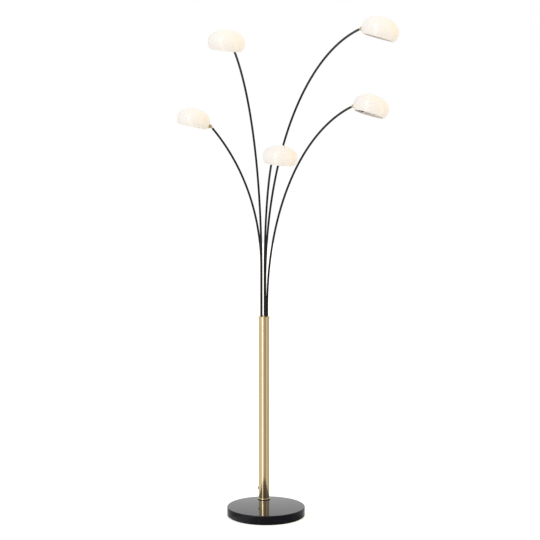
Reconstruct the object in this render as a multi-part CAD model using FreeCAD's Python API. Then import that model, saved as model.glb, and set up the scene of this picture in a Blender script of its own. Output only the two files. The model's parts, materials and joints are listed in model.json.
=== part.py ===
import FreeCAD, Part
import math
import os

# Tree floor lamp: a brass pole stands near the back edge of a round black marble foot.
# Five thin black tubes leave the top of the pole, bend over towards the front, and each
# carries an open opal-glass shade on a slotted brass ball joint.
# Millimetres. Origin at the centre of the foot's underside, +Z up, the front is -Y.

os.makedirs("parts", exist_ok=True)
V = FreeCAD.Vector

# ---------------------------------------------------------------- driving dimensions
# Marble foot
FOOT_DIAMETER = 300.0
STONE_THICKNESS = 34.0
STONE_TOP_CHAMFER = 1.6
STONE_BOTTOM_CHAMFER = 1.0
PAD_THICKNESS = 2.0
PAD_INSET = 4.0
NUT_POCKET_DIAMETER = 46.0
NUT_POCKET_DEPTH = 12.0

# Where the pole stands on the foot: 105 behind its centre and 8 to the left
POLE_X = -8.0
POLE_Y = 105.0

# Pole and what clamps it
POLE_DIAMETER = 42.0
POLE_WALL = 1.5
POLE_LENGTH = 716.0
GASKET_DIAMETER = 47.0
GASKET_THICKNESS = 1.6
FLANGE_DIAMETER = 45.6
FLANGE_THICKNESS = 4.6
FLANGE_CHAMFER = 1.2
SPIGOT_LENGTH = 15.0
ROD_DIAMETER = 10.0
ROD_BORE = 7.0
WASHER_DIAMETER = 38.0
WASHER_THICKNESS = 2.5
NUT_ACROSS_FLATS = 17.0
NUT_THICKNESS = 6.0
ROD_BELOW_NUT = 1.0
TERMINAL_HEIGHT = 14.0
LEAD_ENGAGEMENT = 6.0

# Cable inlet, at the left of the pole, turned a little to the back
INLET_HEIGHT = 44.0
INLET_HEADING = 165.0
INLET_HOLE = 10.0
GROMMET_LIP = 1.5
GROMMET_THICKNESS = 2.6
GROMMET_BORE = 6.6

# Head of the pole
BLOCK_HEIGHT = 40.0
ROD_IN_BLOCK = 22.0
CAP_PLATE = 3.5
CAP_SKIRT = 5.0
CAP_DIAMETER = 44.4
CAP_CHAMFER = 1.7
SCREW_DIAMETER = 5.0
SCREW_LENGTH = 18.0
SCREW_HEAD_DIAMETER = 9.0
SCREW_HEAD_HEIGHT = 3.0
SCREW_HEAD_CHAMFER = 1.0
SCREW_SLOT_LENGTH = 5.4
SCREW_SLOT_WIDTH = 1.1
SEAT_RADIUS = 12.6
SEAT_TURN = 6.0
COLLAR_DIAMETER = 12.0
COLLAR_HEIGHT = 3.5
FRICTION_WASHER = 1.0
TUBE_BELOW_BLOCK = 5.0

# Arms
TUBE_DIAMETER = 8.0
TUBE_WALL = 1.0
LEAD_DIAMETER = 3.0

# Ball joint at the end of an arm
BALL_DIAMETER = 10.0
NECK_LENGTH = 2.5
STUD_SHOULDER = 1.0
STUD_SPIGOT = 8.0
NECK_WIDTH = 4.8
STUD_BORE = 3.4
CUP_FLOOR = 2.0
CUP_NOSE_SHORT = 0.7
CUP_NOSE_DIAMETER = 7.8
CUP_NECK_BACK = 2.0
CUP_NECK_WALL = 1.4
CUP_FACE_DIAMETER = 18.4
CUP_EDGE = 0.5

# Shade: an oblate dome of glass, widest a little above its open rim
SHADE_DIAMETER = 126.0
MOUTH_TURN_IN = 9.0
SHADE_HEIGHT = 70.0
WIDEST_LEVEL = 26.0
SHOULDER_DROP = 8.0
GLASS_WALL = 3.0
HOLE_LEVEL = 16.0
HOLE_PAD_DIAMETER = 21.0
HOLE_PAD_FACE = 19.4
HOLE_PAD_SET_IN = 1.85
HOLE_PAD_THICKNESS = 7.5
RIM_ROUND = 1.5

# Inside the shade
NIPPLE_DIAMETER = 8.0
NIPPLE_BORE = 5.4
NIPPLE_IN_CUP = 1.9
NIPPLE_IN_HOLDER = 8.0
SOFT_WASHER = 0.8
SOFT_WASHER_DIAMETER = 17.0
HOLDER_NECK_DIAMETER = 18.0
HOLDER_NECK_LENGTH = 11.0
HOLDER_DIAMETER = 26.0
HOLDER_LENGTH = 16.0
HOLDER_EDGE = 1.5
TAIL_DIAMETER = 2.6
BULB_DIAMETER = 14.0
BULB_FOOT_DIAMETER = 16.4
BULB_FOOT_LENGTH = 9.0
BULB_LENGTH = 34.0

# Clearances
RUNNING = 0.05
FREE = 0.3
PLAY = 0.2

# Two levels this close are the same level
SAME_LEVEL = 1e-6

# The five branches, named by where they stand seen from the front:
# seat: place on the pentagon in the cap, degrees anticlockwise from the right-hand seat
# rise: straight length above the cap; radius and bend: the arc that follows
# heading: the way the arc leans, degrees anticlockwise from +X
# shade_heading, nose, roll: the way the shade points, how far its far side is lifted,
# and how far it is turned about its own fixing
BRANCHES = {
    "left_low": {"seat": 144.0, "rise": 190.0, "radius": 760.0, "bend": 45.1,
                 "heading": 214.9, "shade_heading": 184.5, "nose": 12.5, "roll": 1.5},
    "left_high": {"seat": 216.0, "rise": 170.0, "radius": 894.0, "bend": 69.2,
                  "heading": 260.3, "shade_heading": 256.0, "nose": -5.5, "roll": 7.0},
    "right_high": {"seat": 288.0, "rise": 120.0, "radius": 938.0, "bend": 82.1,
                   "heading": 292.9, "shade_heading": 331.0, "nose": -14.5, "roll": 6.3},
    "right_low": {"seat": 0.0, "rise": 32.0, "radius": 792.0, "bend": 75.9,
                  "heading": 299.6, "shade_heading": 328.0, "nose": -12.0, "roll": 12.3},
    "middle": {"seat": 72.0, "rise": 165.0, "radius": 510.0, "bend": 61.9,
               "heading": 276.3, "shade_heading": 292.5, "nose": -5.9, "roll": 3.8},
}

# ---------------------------------------------------------------- levels up the pole
STONE_BOTTOM = PAD_THICKNESS
STONE_TOP = STONE_BOTTOM + STONE_THICKNESS
GASKET_TOP = STONE_TOP + GASKET_THICKNESS
FLANGE_TOP = GASKET_TOP + FLANGE_THICKNESS
POLE_TOP = FLANGE_TOP + POLE_LENGTH
CAP_TOP = POLE_TOP + CAP_PLATE
COLLAR_TOP = POLE_TOP - PLAY
COLLAR_BOTTOM = COLLAR_TOP - COLLAR_HEIGHT
BLOCK_TOP = COLLAR_BOTTOM - FRICTION_WASHER
BLOCK_BOTTOM = BLOCK_TOP - BLOCK_HEIGHT
TUBE_BOTTOM = BLOCK_BOTTOM - TUBE_BELOW_BLOCK
SPIGOT_TOP = FLANGE_TOP + SPIGOT_LENGTH
TERMINAL_TOP = SPIGOT_TOP + TERMINAL_HEIGHT
POCKET_TOP = STONE_BOTTOM + NUT_POCKET_DEPTH
WASHER_BOTTOM = POCKET_TOP - WASHER_THICKNESS
NUT_BOTTOM = WASHER_BOTTOM - NUT_THICKNESS
ROD_BOTTOM = NUT_BOTTOM - ROD_BELOW_NUT
ROD_TOP = BLOCK_BOTTOM + ROD_IN_BLOCK
INLET_LEVEL = STONE_TOP + INLET_HEIGHT

POLE_BORE = POLE_DIAMETER - 2 * POLE_WALL
TUBE_BORE = TUBE_DIAMETER - 2 * TUBE_WALL

# From the centre of the ball back to the end of the tube, and to the cup's small end
STUD_REACH = BALL_DIAMETER / 2 + NECK_LENGTH
CUP_NOSE_BACK = BALL_DIAMETER / 2 - CUP_NOSE_SHORT
CUP_NECK_DIAMETER = BALL_DIAMETER + 2 * CUP_NECK_WALL

# Along the shade's fixing, from the centre of the ball towards the inside of the shade
CUP_FACE = BALL_DIAMETER / 2 + CUP_FLOOR
PAD_FACE = CUP_FACE + SOFT_WASHER + RUNNING
PAD_BACK = PAD_FACE + HOLE_PAD_THICKNESS
INNER_WASHER_FACE = PAD_BACK + RUNNING
INNER_WASHER_BACK = INNER_WASHER_FACE + SOFT_WASHER
HOLDER_SHOULDER = INNER_WASHER_BACK + HOLDER_NECK_LENGTH
HOLDER_MOUTH = HOLDER_SHOULDER + HOLDER_LENGTH
HOLDER_FLOOR = HOLDER_MOUTH - BULB_FOOT_LENGTH
NIPPLE_START = CUP_FACE - NIPPLE_IN_CUP
NIPPLE_END = INNER_WASHER_BACK + NIPPLE_IN_HOLDER
SHADE_AXIS = PAD_FACE + SHADE_DIAMETER / 2 - HOLE_PAD_SET_IN


# ---------------------------------------------------------------- small tools
def post(diameter, bottom, top, x=POLE_X, y=POLE_Y):
    """An upright cylinder between two levels, on the pole's axis unless told otherwise."""
    return Part.makeCylinder(diameter / 2, top - bottom, V(x, y, bottom))


def pipe_along_x(diameter, start, end):
    """A cylinder on the X axis between two distances."""
    return Part.makeCylinder(diameter / 2, end - start, V(start, 0, 0), V(1, 0, 0))


def hexagon_post(across_flats, bottom, top):
    """An upright hexagonal bar on the pole's axis."""
    radius = across_flats / math.sqrt(3)
    corners = []
    for i in range(7):
        angle = math.radians(60 * i)
        corners.append(V(POLE_X + radius * math.cos(angle),
                         POLE_Y + radius * math.sin(angle), bottom))
    return Part.Face(Part.makePolygon(corners)).extrude(V(0, 0, top - bottom))


def edges_at_level(solid, level):
    """The edges of a solid that lie wholly in one level plane."""
    return [edge for edge in solid.Edges
            if abs(edge.BoundBox.ZMin - level) < SAME_LEVEL
            and abs(edge.BoundBox.ZMax - level) < SAME_LEVEL]


def chamfer_level(solid, level, size):
    """Chamfers the round outer edge of a solid at one level: the longest circle there."""
    outer = max(edges_at_level(solid, level), key=lambda edge: edge.Length)
    return solid.makeChamfer(size, [outer])


def turn(points, axis=V(1, 0, 0)):
    """Turns a closed outline of corners about an axis through the origin."""
    outline = Part.makePolygon(points + [points[0]])
    return Part.Face(outline).revolve(V(0, 0, 0), axis, 360)


def direction(heading, lift=0.0):
    """A unit vector from a heading in plan and a lift above the horizontal, in degrees."""
    h = math.radians(heading)
    e = math.radians(lift)
    return V(math.cos(h) * math.cos(e), math.sin(h) * math.cos(e), math.sin(e))


def put(shape, origin, x_axis, z_axis):
    """Moves a shape from its own frame to one with the given origin, X and Z directions."""
    placed = shape.copy()
    turned = FreeCAD.Rotation(x_axis, z_axis.cross(x_axis), z_axis, "XZY")
    placed.Placement = FreeCAD.Placement(origin, turned)
    return placed


def save(name, shape):
    """Writes one sub-part and prints its size."""
    shape.exportStep("parts/%s.step" % name)
    box = shape.BoundBox
    print("%-26s solids %d  %7.1f %7.1f %7.1f  valid %s"
          % (name, len(shape.Solids), box.XLength, box.YLength, box.ZLength,
             shape.isValid()))


# ---------------------------------------------------------------- foot
def marble_base():
    """The stone disc, with the rod's hole and the pocket for its nut beneath."""
    stone = post(FOOT_DIAMETER, STONE_BOTTOM, STONE_TOP, 0, 0)
    stone = chamfer_level(stone, STONE_TOP, STONE_TOP_CHAMFER)
    stone = chamfer_level(stone, STONE_BOTTOM, STONE_BOTTOM_CHAMFER)
    stone = stone.cut(post(NUT_POCKET_DIAMETER, STONE_BOTTOM, POCKET_TOP))
    return stone.cut(post(ROD_DIAMETER + 2 * FREE, STONE_BOTTOM, STONE_TOP))


def base_pad():
    """The soft sheet under the stone, open below the nut's pocket."""
    pad = post(FOOT_DIAMETER - 2 * PAD_INSET, 0, PAD_THICKNESS, 0, 0)
    return pad.cut(post(NUT_POCKET_DIAMETER, 0, PAD_THICKNESS))


def base_washer():
    washer = post(WASHER_DIAMETER, WASHER_BOTTOM, POCKET_TOP)
    return washer.cut(post(ROD_DIAMETER + 2 * FREE, WASHER_BOTTOM, POCKET_TOP))


def base_nut():
    nut = hexagon_post(NUT_ACROSS_FLATS, NUT_BOTTOM, WASHER_BOTTOM)
    return nut.cut(post(ROD_DIAMETER, NUT_BOTTOM, WASHER_BOTTOM))


def foot_gasket():
    gasket = post(GASKET_DIAMETER, STONE_TOP, GASKET_TOP)
    return gasket.cut(post(ROD_DIAMETER + 2 * FREE, STONE_TOP, GASKET_TOP))


def foot_flange():
    """The brass foot of the pole: a flange on the gasket and a spigot up the bore."""
    flange = post(FLANGE_DIAMETER, GASKET_TOP, FLANGE_TOP)
    flange = chamfer_level(flange, FLANGE_TOP, FLANGE_CHAMFER)
    spigot = post(POLE_BORE - 2 * RUNNING, FLANGE_TOP, SPIGOT_TOP)
    bore = post(ROD_DIAMETER + 2 * FREE, GASKET_TOP, SPIGOT_TOP)
    return flange.fuse(spigot).cut(bore)


# ---------------------------------------------------------------- pole
def inlet_drill(diameter, start, end):
    """A cylinder across the pole's wall at the cable inlet, between two radii."""
    outwards = direction(INLET_HEADING)
    centre = V(POLE_X, POLE_Y, INLET_LEVEL)
    return Part.makeCylinder(diameter / 2, end - start, centre + outwards * start, outwards)


def tie_rod():
    """The hollow threaded rod that clamps foot, pole and head together."""
    rod = post(ROD_DIAMETER, ROD_BOTTOM, ROD_TOP)
    return rod.cut(post(ROD_BORE, ROD_BOTTOM, ROD_TOP))


def pole_tube():
    tube = post(POLE_DIAMETER, FLANGE_TOP, POLE_TOP)
    tube = tube.cut(post(POLE_BORE, FLANGE_TOP, POLE_TOP))
    return tube.cut(inlet_drill(INLET_HOLE, POLE_BORE / 2 - POLE_WALL,
                                POLE_DIAMETER / 2 + POLE_WALL))


def cable_grommet():
    """A rubber bush in the inlet: a lip outside, a lip inside, and the cable's bore."""
    outside = POLE_DIAMETER / 2
    inside = POLE_BORE / 2
    bush = inlet_drill(INLET_HOLE + 2 * GROMMET_LIP, inside - GROMMET_LIP,
                       outside + GROMMET_THICKNESS)
    bore = inlet_drill(GROMMET_BORE, inside - 2 * GROMMET_LIP,
                       outside + 2 * GROMMET_THICKNESS)
    return bush.cut(pole_tube()).cut(bore)


def terminal_block():
    """The ring of terminals that rests on the flange's spigot, round the rod."""
    block = post(POLE_BORE - 2 * FREE, SPIGOT_TOP, TERMINAL_TOP)
    block = block.cut(post(ROD_DIAMETER + 2 * FREE, SPIGOT_TOP, TERMINAL_TOP))
    for branch in BRANCHES.values():
        x, y = seat_place(branch)
        block = block.cut(post(LEAD_DIAMETER + 2 * FREE,
                               TERMINAL_TOP - LEAD_ENGAGEMENT - FREE, TERMINAL_TOP, x, y))
    return block


# ---------------------------------------------------------------- head
def seat_place(branch):
    """Where an arm enters the cap: a corner of the pentagon about the pole's axis."""
    angle = math.radians(SEAT_TURN + branch["seat"])
    return POLE_X + SEAT_RADIUS * math.cos(angle), POLE_Y + SEAT_RADIUS * math.sin(angle)


def seat_posts(diameter, bottom, top):
    """One upright cylinder at each of the five seats."""
    posts = [post(diameter, bottom, top, *seat_place(b)) for b in BRANCHES.values()]
    return Part.makeCompound(posts)


def head_block():
    """The block in the top of the pole that the arms turn in, drawn down by the rod."""
    block = post(POLE_BORE - 2 * RUNNING, BLOCK_BOTTOM, BLOCK_TOP)
    block = block.cut(seat_posts(TUBE_DIAMETER + 2 * RUNNING, BLOCK_BOTTOM, BLOCK_TOP))
    block = block.cut(post(ROD_DIAMETER, BLOCK_BOTTOM, ROD_TOP))
    screw_end = CAP_TOP - SCREW_LENGTH
    return block.cut(post(SCREW_DIAMETER, screw_end, BLOCK_TOP))


def friction_washers():
    """Five loose fibre rings that the arms' collars rub on."""
    rings = seat_posts(COLLAR_DIAMETER, BLOCK_TOP, COLLAR_BOTTOM)
    holes = seat_posts(TUBE_DIAMETER + 2 * FREE, BLOCK_TOP, COLLAR_BOTTOM)
    return Part.makeCompound(rings.cut(holes).Solids)


def pole_cap():
    """The turned brass cap over the pole's end, with a hole for each arm."""
    cap = post(CAP_DIAMETER, POLE_TOP - CAP_SKIRT, CAP_TOP)
    cap = chamfer_level(cap, CAP_TOP, CAP_CHAMFER)
    cap = cap.cut(post(POLE_DIAMETER, POLE_TOP - CAP_SKIRT, POLE_TOP))
    cap = cap.cut(seat_posts(TUBE_DIAMETER + 2 * FREE, POLE_TOP, CAP_TOP))
    return cap.cut(post(SCREW_DIAMETER + 2 * FREE, POLE_TOP, CAP_TOP))


def cap_screw():
    """The pan-head screw that holds the cap, with its cross slot."""
    shank = post(SCREW_DIAMETER, CAP_TOP - SCREW_LENGTH, CAP_TOP)
    head = post(SCREW_HEAD_DIAMETER, CAP_TOP, CAP_TOP + SCREW_HEAD_HEIGHT)
    head = chamfer_level(head, CAP_TOP + SCREW_HEAD_HEIGHT, SCREW_HEAD_CHAMFER)
    screw = shank.fuse(head)
    slot_bottom = CAP_TOP + SCREW_HEAD_HEIGHT / 2
    for length, width in ((SCREW_SLOT_LENGTH, SCREW_SLOT_WIDTH),
                          (SCREW_SLOT_WIDTH, SCREW_SLOT_LENGTH)):
        corner = V(POLE_X - length / 2, POLE_Y - width / 2, slot_bottom)
        screw = screw.cut(Part.makeBox(length, width, SCREW_HEAD_HEIGHT, corner))
    return screw


# ---------------------------------------------------------------- arms
class Arm:
    """One branch's lines: up from its seat, round an arc to the ball, and the fixing.

    The fixing is the line from the ball into the shade. The hinge is square to both the
    tube's end and the fixing, and the neck angle is the angle between those two.
    """

    def __init__(self, branch):
        self.x, self.y = seat_place(branch)
        self.bend_start = CAP_TOP + branch["rise"]
        self.radius = branch["radius"]
        self.bend = branch["bend"]
        self.lean = direction(branch["heading"])
        self.arc_centre = V(self.x, self.y, self.bend_start) + self.lean * self.radius
        self.arc_axis = V(0, 0, 1).cross(self.lean)
        angle = math.radians(self.bend)
        across = self.radius * (1 - math.cos(angle))
        self.end = (V(self.x, self.y, self.bend_start) + self.lean * across
                    + V(0, 0, self.radius * math.sin(angle)))
        self.tangent = self.lean * math.sin(angle) + V(0, 0, math.cos(angle))
        self.ball = self.end + self.tangent * STUD_REACH
        self.fixing = direction(branch["shade_heading"], branch["nose"])
        lifted = direction(branch["shade_heading"], branch["nose"] + 90)
        roll = math.radians(branch["roll"])
        self.shade_up = lifted * math.cos(roll) + lifted.cross(self.fixing) * math.sin(roll)
        self.hinge = self.tangent.cross(self.fixing)
        self.hinge.normalize()
        self.neck_angle = math.degrees(self.tangent.getAngle(self.fixing))

    def sweep(self, diameter, bore, bottom, end_run=0.0):
        """A round bar or tube along the centreline, from a level to past the arc's end."""
        foot = V(self.x, self.y, bottom)
        start = V(self.x, self.y, self.bend_start)
        half = math.radians(self.bend / 2)
        middle = (start + self.lean * (self.radius * (1 - math.cos(half)))
                  + V(0, 0, self.radius * math.sin(half)))
        path = [Part.makeLine(foot, start), Part.Arc(start, middle, self.end).toShape()]
        if end_run:
            path.append(Part.makeLine(self.end, self.end + self.tangent * end_run))
        section = Part.Face(Part.Wire(Part.makeCircle(diameter / 2, foot)))
        if bore:
            section = section.cut(Part.Face(Part.Wire(Part.makeCircle(bore / 2, foot))))
        return Part.Wire(path).makePipe(section.Faces[0])


def arm_tube(arm):
    """A steel tube with the collar that keeps it in the head brazed round it."""
    collar = post(COLLAR_DIAMETER, COLLAR_BOTTOM, COLLAR_TOP, arm.x, arm.y)
    collar = collar.cut(post(TUBE_DIAMETER, COLLAR_BOTTOM, COLLAR_TOP, arm.x, arm.y))
    return arm.sweep(TUBE_DIAMETER, TUBE_BORE, TUBE_BOTTOM).fuse(collar)


def ball_stud(arm):
    """The brass ball on its square neck, shouldered on the tube, bored for the lead."""
    start = -STUD_REACH - STUD_SPIGOT
    spigot = pipe_along_x(TUBE_BORE - 2 * PLAY, start, -STUD_REACH)
    shoulder = pipe_along_x(TUBE_DIAMETER, -STUD_REACH, -STUD_REACH + STUD_SHOULDER)
    neck = Part.makeBox(STUD_REACH, NECK_WIDTH, NECK_WIDTH,
                        V(-STUD_REACH, -NECK_WIDTH / 2, -NECK_WIDTH / 2))
    ball = Part.makeSphere(BALL_DIAMETER / 2)
    bore = pipe_along_x(STUD_BORE, start, BALL_DIAMETER)
    stud = spigot.fuse([shoulder, neck, ball]).cut(bore)
    return put(stud, arm.ball, arm.tangent, arm.hinge)


def arm_lead(arm):
    """The two-core lead, from its terminal up the pole and tube into the ball."""
    return arm.sweep(LEAD_DIAMETER, 0, TERMINAL_TOP - LEAD_ENGAGEMENT, STUD_REACH)


# ---------------------------------------------------------------- ball joint and holder
# These are drawn along X from the centre of the ball. The neck leaves towards -X, and
# swings towards -Z in the cup's slot.
def knuckle_cup():
    """The brass cone closed over the ball, slotted so that the square neck can swing.

    The slot runs from the neck's straight place to the middle of the ball.
    """
    cavity = BALL_DIAMETER / 2 + RUNNING
    bore = NIPPLE_BORE / 2
    thread = NIPPLE_DIAMETER / 2
    face = CUP_FACE_DIAMETER / 2
    mouth = V(-CUP_NOSE_BACK, math.sqrt(cavity ** 2 - CUP_NOSE_BACK ** 2), 0)
    cavity_end = V(math.sqrt(cavity ** 2 - bore ** 2), bore, 0)
    outside = [cavity_end, V(NIPPLE_START, bore, 0), V(NIPPLE_START, thread, 0),
               V(CUP_FACE, thread, 0), V(CUP_FACE, face - CUP_EDGE, 0),
               V(CUP_FACE - CUP_EDGE, face, 0),
               V(-CUP_NECK_BACK, CUP_NECK_DIAMETER / 2, 0),
               V(-CUP_NOSE_BACK, CUP_NOSE_DIAMETER / 2, 0), mouth]
    edges = Part.makePolygon(outside).Edges
    edges.append(Part.Arc(mouth, V(0, cavity, 0), cavity_end).toShape())
    outline = Part.Wire(Part.__sortEdges__(edges))
    cup = Part.Face(outline).revolve(V(0, 0, 0), V(1, 0, 0), 360)
    width = NECK_WIDTH + 2 * FREE
    slot = Part.makeBox(CUP_NOSE_BACK, width, CUP_NECK_DIAMETER + width / 2,
                        V(-CUP_NOSE_BACK, -width / 2, -CUP_NECK_DIAMETER))
    return cup.cut(slot)


def nipple():
    """The hollow threaded nipple from the cup through the glass into the holder."""
    rod = pipe_along_x(NIPPLE_DIAMETER, NIPPLE_START, NIPPLE_END)
    return rod.cut(pipe_along_x(NIPPLE_BORE, NIPPLE_START, NIPPLE_END))


def glass_washers():
    """The two soft washers that the glass turns between."""
    rings = []
    for start in (CUP_FACE, INNER_WASHER_FACE):
        ring = pipe_along_x(SOFT_WASHER_DIAMETER, start, start + SOFT_WASHER)
        rings.append(ring.cut(pipe_along_x(NIPPLE_DIAMETER, start, start + SOFT_WASHER)))
    return Part.makeCompound(rings)


def lampholder():
    """The holder: a neck that screws on the nipple, a wider cup, and its lead's tail."""
    neck = HOLDER_NECK_DIAMETER / 2
    body = HOLDER_DIAMETER / 2
    socket = BULB_FOOT_DIAMETER / 2 + FREE
    holder = turn([V(INNER_WASHER_BACK, 0, 0), V(INNER_WASHER_BACK, neck, 0),
                   V(HOLDER_SHOULDER, neck, 0), V(HOLDER_SHOULDER, body - HOLDER_EDGE, 0),
                   V(HOLDER_SHOULDER + HOLDER_EDGE, body, 0),
                   V(HOLDER_MOUTH - HOLDER_EDGE, body, 0),
                   V(HOLDER_MOUTH, body - HOLDER_EDGE, 0), V(HOLDER_MOUTH, socket, 0),
                   V(HOLDER_FLOOR, socket, 0), V(HOLDER_FLOOR, 0, 0)])
    holder = holder.cut(pipe_along_x(NIPPLE_DIAMETER, INNER_WASHER_BACK, NIPPLE_END))
    return holder.fuse(pipe_along_x(TAIL_DIAMETER, NIPPLE_START, NIPPLE_END))


def bulb():
    """A pin-base capsule lamp: its foot in the holder's socket and a round-ended tube."""
    dome_centre = HOLDER_MOUTH + BULB_LENGTH - BULB_DIAMETER / 2
    foot = pipe_along_x(BULB_FOOT_DIAMETER, HOLDER_FLOOR, HOLDER_MOUTH)
    tube = pipe_along_x(BULB_DIAMETER, HOLDER_MOUTH, dome_centre)
    dome = Part.makeSphere(BULB_DIAMETER / 2, V(dome_centre, 0, 0))
    return foot.fuse(tube).fuse(dome).removeSplitter()


# ---------------------------------------------------------------- shade
def arc_in_xz(centre, radius, start, end):
    """An arc in the XZ plane between two angles above +X, in radians."""
    points = [centre + V(math.cos(angle), 0, math.sin(angle)) * radius
              for angle in (start, (start + end) / 2, end)]
    return Part.Arc(*points).toShape()


def dome():
    """The glass wall turned about its own axis, with its rounded rim at level 0.

    Three arcs run smoothly into each other: the lower wall from the mouth to the widest
    level, the shoulder above it, and the crown across the top. The inner face is the
    same three arcs, each less by the wall.
    """
    half = SHADE_DIAMETER / 2
    rise = SHADE_HEIGHT - WIDEST_LEVEL
    lower_radius = (MOUTH_TURN_IN ** 2 + WIDEST_LEVEL ** 2) / (2 * MOUTH_TURN_IN)
    shoulder_radius = rise - SHOULDER_DROP
    shoulder = V(half - shoulder_radius, 0, WIDEST_LEVEL)
    crown_radius = ((shoulder.x ** 2 + rise ** 2 - shoulder_radius ** 2)
                    / (2 * SHOULDER_DROP))
    lower = V(half - lower_radius, 0, WIDEST_LEVEL)
    crown = V(0, 0, SHADE_HEIGHT - crown_radius)
    meet = math.atan2(shoulder.z - crown.z, shoulder.x)
    edges = []
    rim_ends = []
    for inset in (0, GLASS_WALL):
        rim_angle = -math.asin((WIDEST_LEVEL - RIM_ROUND) / (lower_radius - inset))
        wall = arc_in_xz(lower, lower_radius - inset, rim_angle, 0)
        rim_ends.append(wall.Vertexes[0].Point)
        edges.append(wall)
        edges.append(arc_in_xz(shoulder, shoulder_radius - inset, 0, meet))
        edges.append(arc_in_xz(crown, crown_radius - inset, meet, math.pi / 2))
    rim_bottom = V((rim_ends[0].x + rim_ends[1].x) / 2, 0, 0)
    edges.append(Part.Arc(rim_ends[0], rim_bottom, rim_ends[1]).toShape())
    edges.append(Part.makeLine(V(0, 0, SHADE_HEIGHT), V(0, 0, SHADE_HEIGHT - GLASS_WALL)))
    outline = Part.Wire(Part.__sortEdges__(edges))
    return Part.Face(outline).revolve(V(0, 0, 0), V(0, 0, 1), 360)


def glass_shade():
    """The shade with its moulded pad, ground flat and drilled for the nipple.

    X runs along the fixing from the ball, and Z along the shade's own axis.
    """
    glass = dome()
    glass.translate(V(SHADE_AXIS, 0, -HOLE_LEVEL))
    glass = glass.fuse(pipe_along_x(HOLE_PAD_DIAMETER, PAD_FACE, PAD_BACK))
    glass = glass.cut(pipe_along_x(HOLE_PAD_FACE, 0, PAD_FACE))
    return glass.cut(pipe_along_x(NIPPLE_DIAMETER + 2 * FREE, PAD_FACE, PAD_BACK))


# ---------------------------------------------------------------- build and write
SHARED_PARTS = (marble_base, base_pad, base_washer, base_nut, foot_gasket, foot_flange,
                tie_rod, pole_tube, cable_grommet, terminal_block, head_block,
                friction_washers, pole_cap, cap_screw)

for make in SHARED_PARTS:
    save(make.__name__, make())

arm_parts = (arm_tube, ball_stud, arm_lead)
knuckle_parts = {make.__name__: make()
                 for make in (knuckle_cup, nipple, glass_washers, lampholder, bulb)}
shade = glass_shade()

for place, branch in BRANCHES.items():
    arm = Arm(branch)
    for make in arm_parts:
        save("%s_%s" % (make.__name__, place), make(arm))
    knuckle_up = arm.fixing.cross(arm.hinge)
    for part_name, shape in knuckle_parts.items():
        save("%s_%s" % (part_name, place), put(shape, arm.ball, arm.fixing, knuckle_up))
    save("glass_shade_%s" % place, put(shade, arm.ball, arm.fixing, arm.shade_up))
    print("   seat %.4f %.4f  ball %.4f %.4f %.4f" % ((arm.x, arm.y) + tuple(arm.ball)))
    print("   fixing %.6f %.6f %.6f" % tuple(arm.fixing))
    print("   shade axis %.6f %.6f %.6f" % tuple(arm.shade_up))
    print("   hinge %.6f %.6f %.6f  neck angle %.2f" % (tuple(arm.hinge) + (arm.neck_angle,)))
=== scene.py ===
# %% [markdown]
# # Tree floor lamp
# A brass pole stands near the back edge of a round black stone foot. Five thin black
# tubes rise from its head, bend over towards the viewer, and each carries an open dome
# of opal glass on a brass ball joint. This lesson builds the looks of that lamp round a
# CAD model that already has every piece in its place, so nothing here is fitted by eye:
# the numbers are the lamp's own sizes, in metres.

# %% Load the frame
import json
import math

import bpy
import numpy as np
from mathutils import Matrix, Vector


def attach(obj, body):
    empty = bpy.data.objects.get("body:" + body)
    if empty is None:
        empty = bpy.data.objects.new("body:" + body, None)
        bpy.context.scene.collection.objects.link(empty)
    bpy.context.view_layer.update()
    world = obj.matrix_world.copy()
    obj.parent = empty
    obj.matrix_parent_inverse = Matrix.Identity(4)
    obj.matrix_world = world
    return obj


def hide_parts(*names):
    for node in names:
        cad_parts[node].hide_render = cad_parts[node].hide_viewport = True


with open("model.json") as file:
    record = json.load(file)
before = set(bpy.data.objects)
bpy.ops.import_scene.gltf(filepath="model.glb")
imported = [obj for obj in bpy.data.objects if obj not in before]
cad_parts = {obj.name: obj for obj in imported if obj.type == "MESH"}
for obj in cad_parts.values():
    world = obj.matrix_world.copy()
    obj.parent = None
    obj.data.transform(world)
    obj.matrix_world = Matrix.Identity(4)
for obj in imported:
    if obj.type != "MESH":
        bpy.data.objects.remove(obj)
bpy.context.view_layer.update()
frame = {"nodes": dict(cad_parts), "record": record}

# %% [markdown]
# ## The camera
# The foot's ellipse and the pole's taper in the picture say where the camera stood: 5.5 m
# in front of the pole, 1.46 m up, looking a little down through a long lens. The camera
# comes first, because every later choice of detail depends on how large a piece appears.

# %% The camera
EYE = (0.0154, -5.395, 1.461)
LOOK_DOWN = math.radians(5.39)
LENS_MM = 94.93
SENSOR_MM = 36.0

camera_data = bpy.data.cameras.new("camera")
camera_data.lens = LENS_MM
camera_data.sensor_width = SENSOR_MM
camera_data.clip_end = 60.0
camera = bpy.data.objects.new("camera", camera_data)
camera.location = EYE
camera.rotation_euler = (math.pi / 2 - LOOK_DOWN, 0.0, 0.0)
bpy.context.scene.collection.objects.link(camera)
bpy.context.scene.camera = camera
print("camera", EYE, "lens", LENS_MM, "mm")

# %% [markdown]
# ## The lamp's own numbers
# A maker would cut the five branches from one drawing and a short list: where each tube
# sits in the cap, how long it runs straight, the radius and angle of its bend, and which
# way its shade points. The same list drives every branch here.

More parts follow.
